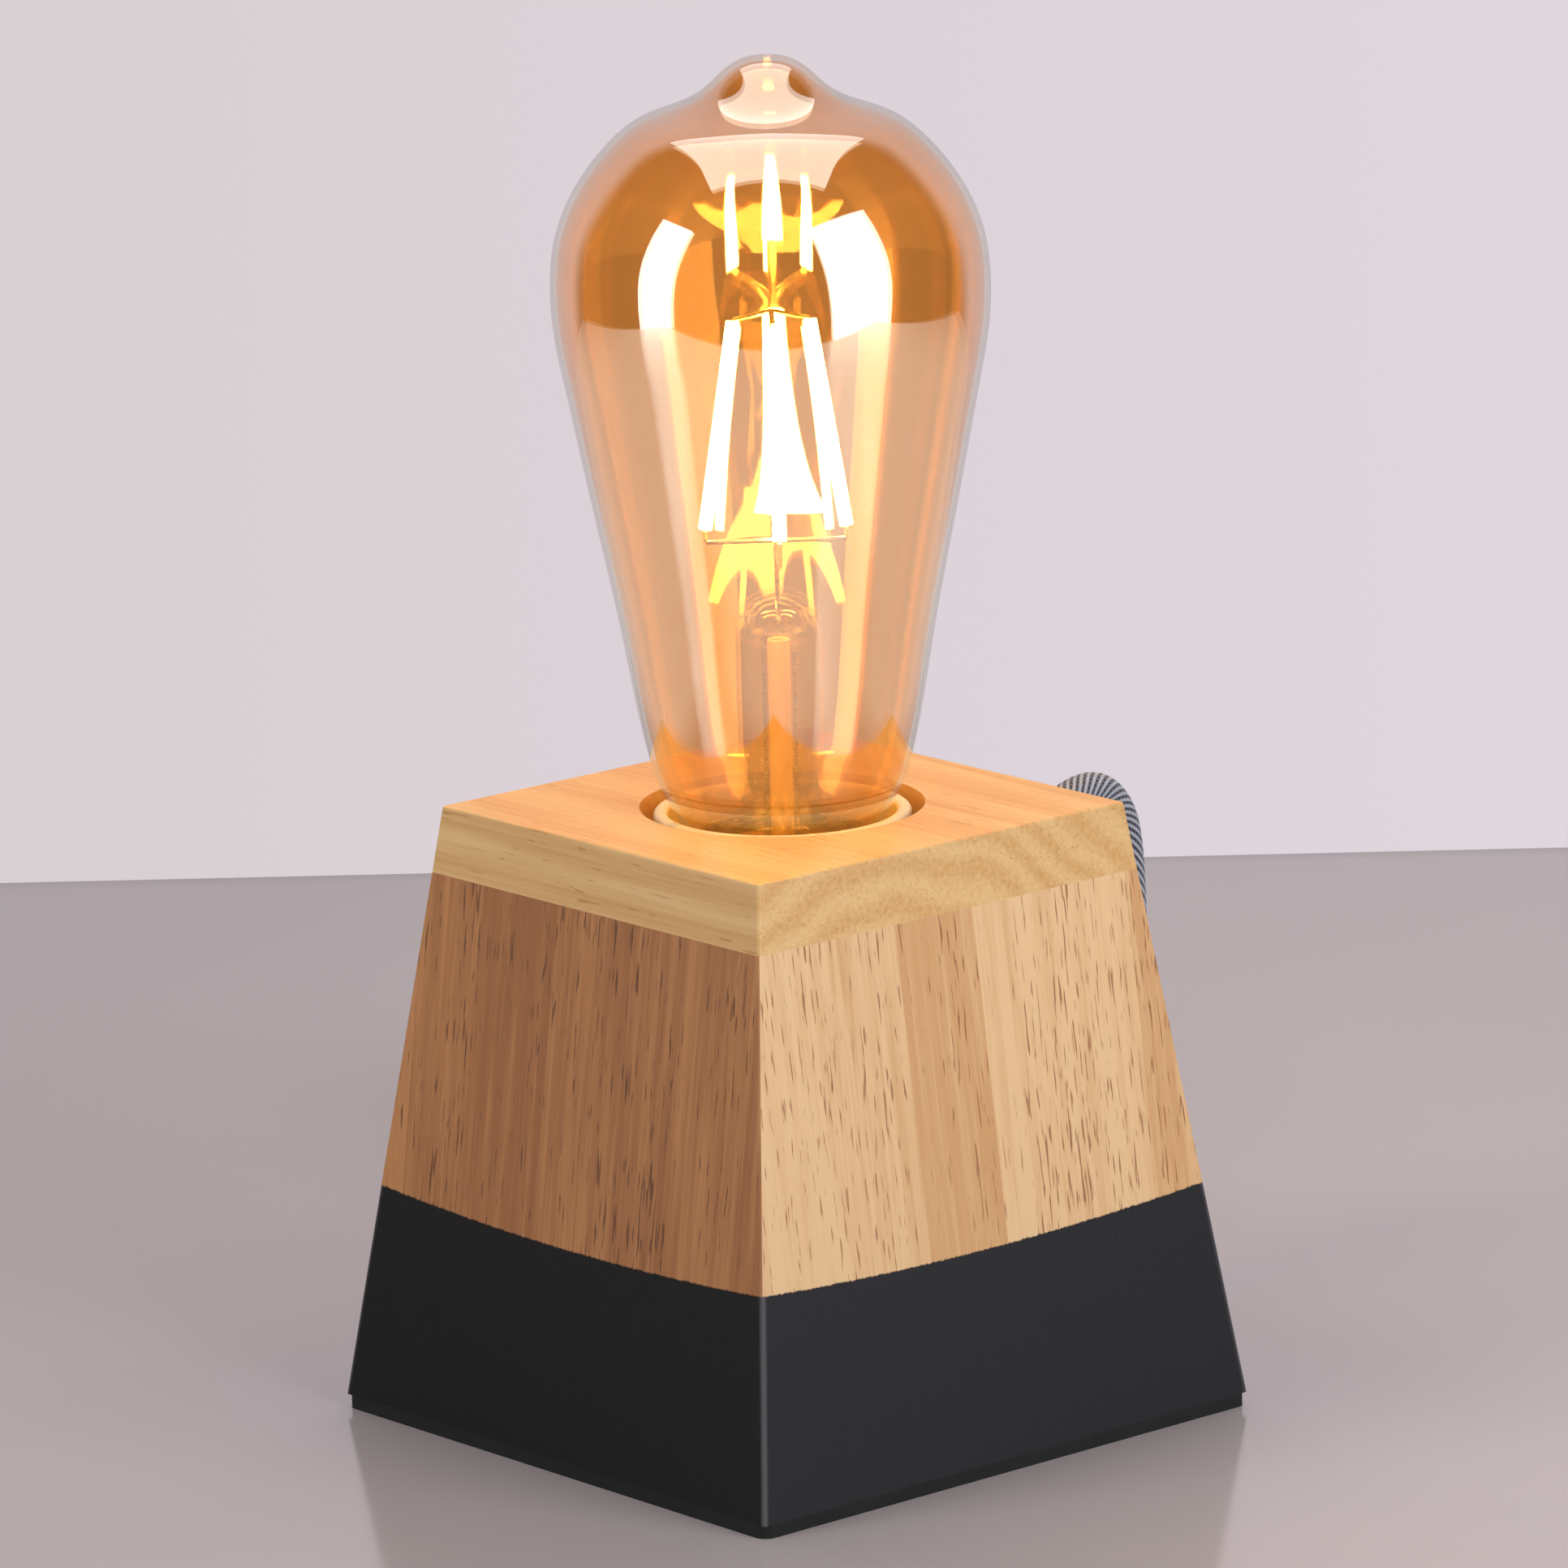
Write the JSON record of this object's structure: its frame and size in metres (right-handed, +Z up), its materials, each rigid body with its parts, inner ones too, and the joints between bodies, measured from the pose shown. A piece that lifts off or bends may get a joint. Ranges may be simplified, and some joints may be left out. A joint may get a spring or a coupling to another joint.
{
  "type": "bare bulb table lamp",
  "caption": "Tapered square wooden block lamp with a dipped dark foot, a sunk screw lampholder and a bare pear-shaped amber filament bulb, with a coiled textile lead.",
  "frame": {"origin": "centre of the foot pad's underside, on the surface that the lamp stands on", "axes": "+Z up along the bulb's axis, +Y towards the rear face where the cord leaves, +X to the right as seen from the front"},
  "size_m": [0.2007, 0.1666, 0.203],
  "materials": {
    "cap_wood": "satin",
    "board_wood": "satin",
    "inner_wood": "matte",
    "foot_foam": "matte",
    "screw_steel": "satin",
    "bracket_steel": "satin",
    "stem_brass": "satin",
    "holder_plastic": "satin",
    "insert_ceramic": "matte",
    "contact_brass": "satin",
    "wire_brown": "satin",
    "wire_blue": "satin",
    "amber_glass": "gloss",
    "clear_glass": "gloss",
    "cap_metal": "satin",
    "cap_insulator": "gloss",
    "tip_metal": "satin",
    "lit_stick": "matte",
    "support_wire": "satin",
    "driver_board": "matte",
    "bushing_plastic": "matte",
    "cord_textile": "matte",
    "tie_strip": "matte",
    "switch_plastic": "satin",
    "rocker_plastic": "gloss",
    "plug_plastic": "satin",
    "pin_metal": "satin"
  },
  "bodies": {
    "base": {"top_cap": "cap_wood", "front_board": "board_wood", "right_board": "board_wood", "rear_board": "board_wood", "left_board": "board_wood", "corner_blocks": "inner_wood", "bottom_board": "inner_wood", "bottom_screws": "screw_steel", "foot_pad": "foot_foam", "holder_bracket": "bracket_steel", "bracket_screws": "screw_steel", "holder_nipple": "stem_brass", "toothed_washer": "screw_steel", "lock_nut": "stem_brass", "holder_dome": "holder_plastic", "holder_collar": "holder_plastic", "holder_insert": "insert_ceramic", "thread_shell": "contact_brass", "centre_contact": "contact_brass", "side_contact": "contact_brass", "terminal_blocks": "contact_brass", "terminal_screws": "screw_steel", "wire_live": "wire_brown", "wire_neutral": "wire_blue", "cord_bushing": "bushing_plastic", "cord_inner": "cord_textile", "cord_run": "cord_textile", "cord_lead": "cord_textile", "cord_coil": "cord_textile", "cord_tail": "cord_textile", "cord_tie": "tie_strip", "switch_base": "switch_plastic", "switch_cover": "switch_plastic", "switch_contacts": "contact_brass", "switch_screws": "screw_steel", "plug_body": "plug_plastic", "plug_pins": "pin_metal"},
    "bulb_lift": {"bulb_tip_contact": "tip_metal"},
    "bulb": {"bulb_glass": "amber_glass", "bulb_cap_shell": "cap_metal", "bulb_cap_insulator": "cap_insulator", "glass_stem": "clear_glass", "exhaust_tube": "clear_glass", "lead_wires": "support_wire", "support_wires": "support_wire", "filament_sticks": "lit_stick", "led_driver": "driver_board"},
    "rocker": {"switch_rocker": "rocker_plastic"}
  },
  "joints": [
    {"name": "bulb_rise", "type": "slide", "parent": "base", "child": "bulb_lift", "axis": [0, 0, 1], "range_m": [0, 0.01455]},
    {"name": "bulb_turn", "type": "hinge", "parent": "bulb_lift", "child": "bulb", "pos_m": [0, 0, 0.0612], "axis": [0, 0, 1], "range_deg": [0, 1440]},
    {"name": "rocker_tilt", "type": "hinge", "parent": "base", "child": "rocker", "pos_m": [-0.04539, 0.09323, 0.011], "axis": [-0.3741, -0.9274, 0], "range_deg": [-16, 0]}
  ],
  "couplings": [
    {"joint": "bulb_rise", "follows": "bulb_turn", "m_per_rad": 0.00057757}
  ]
}
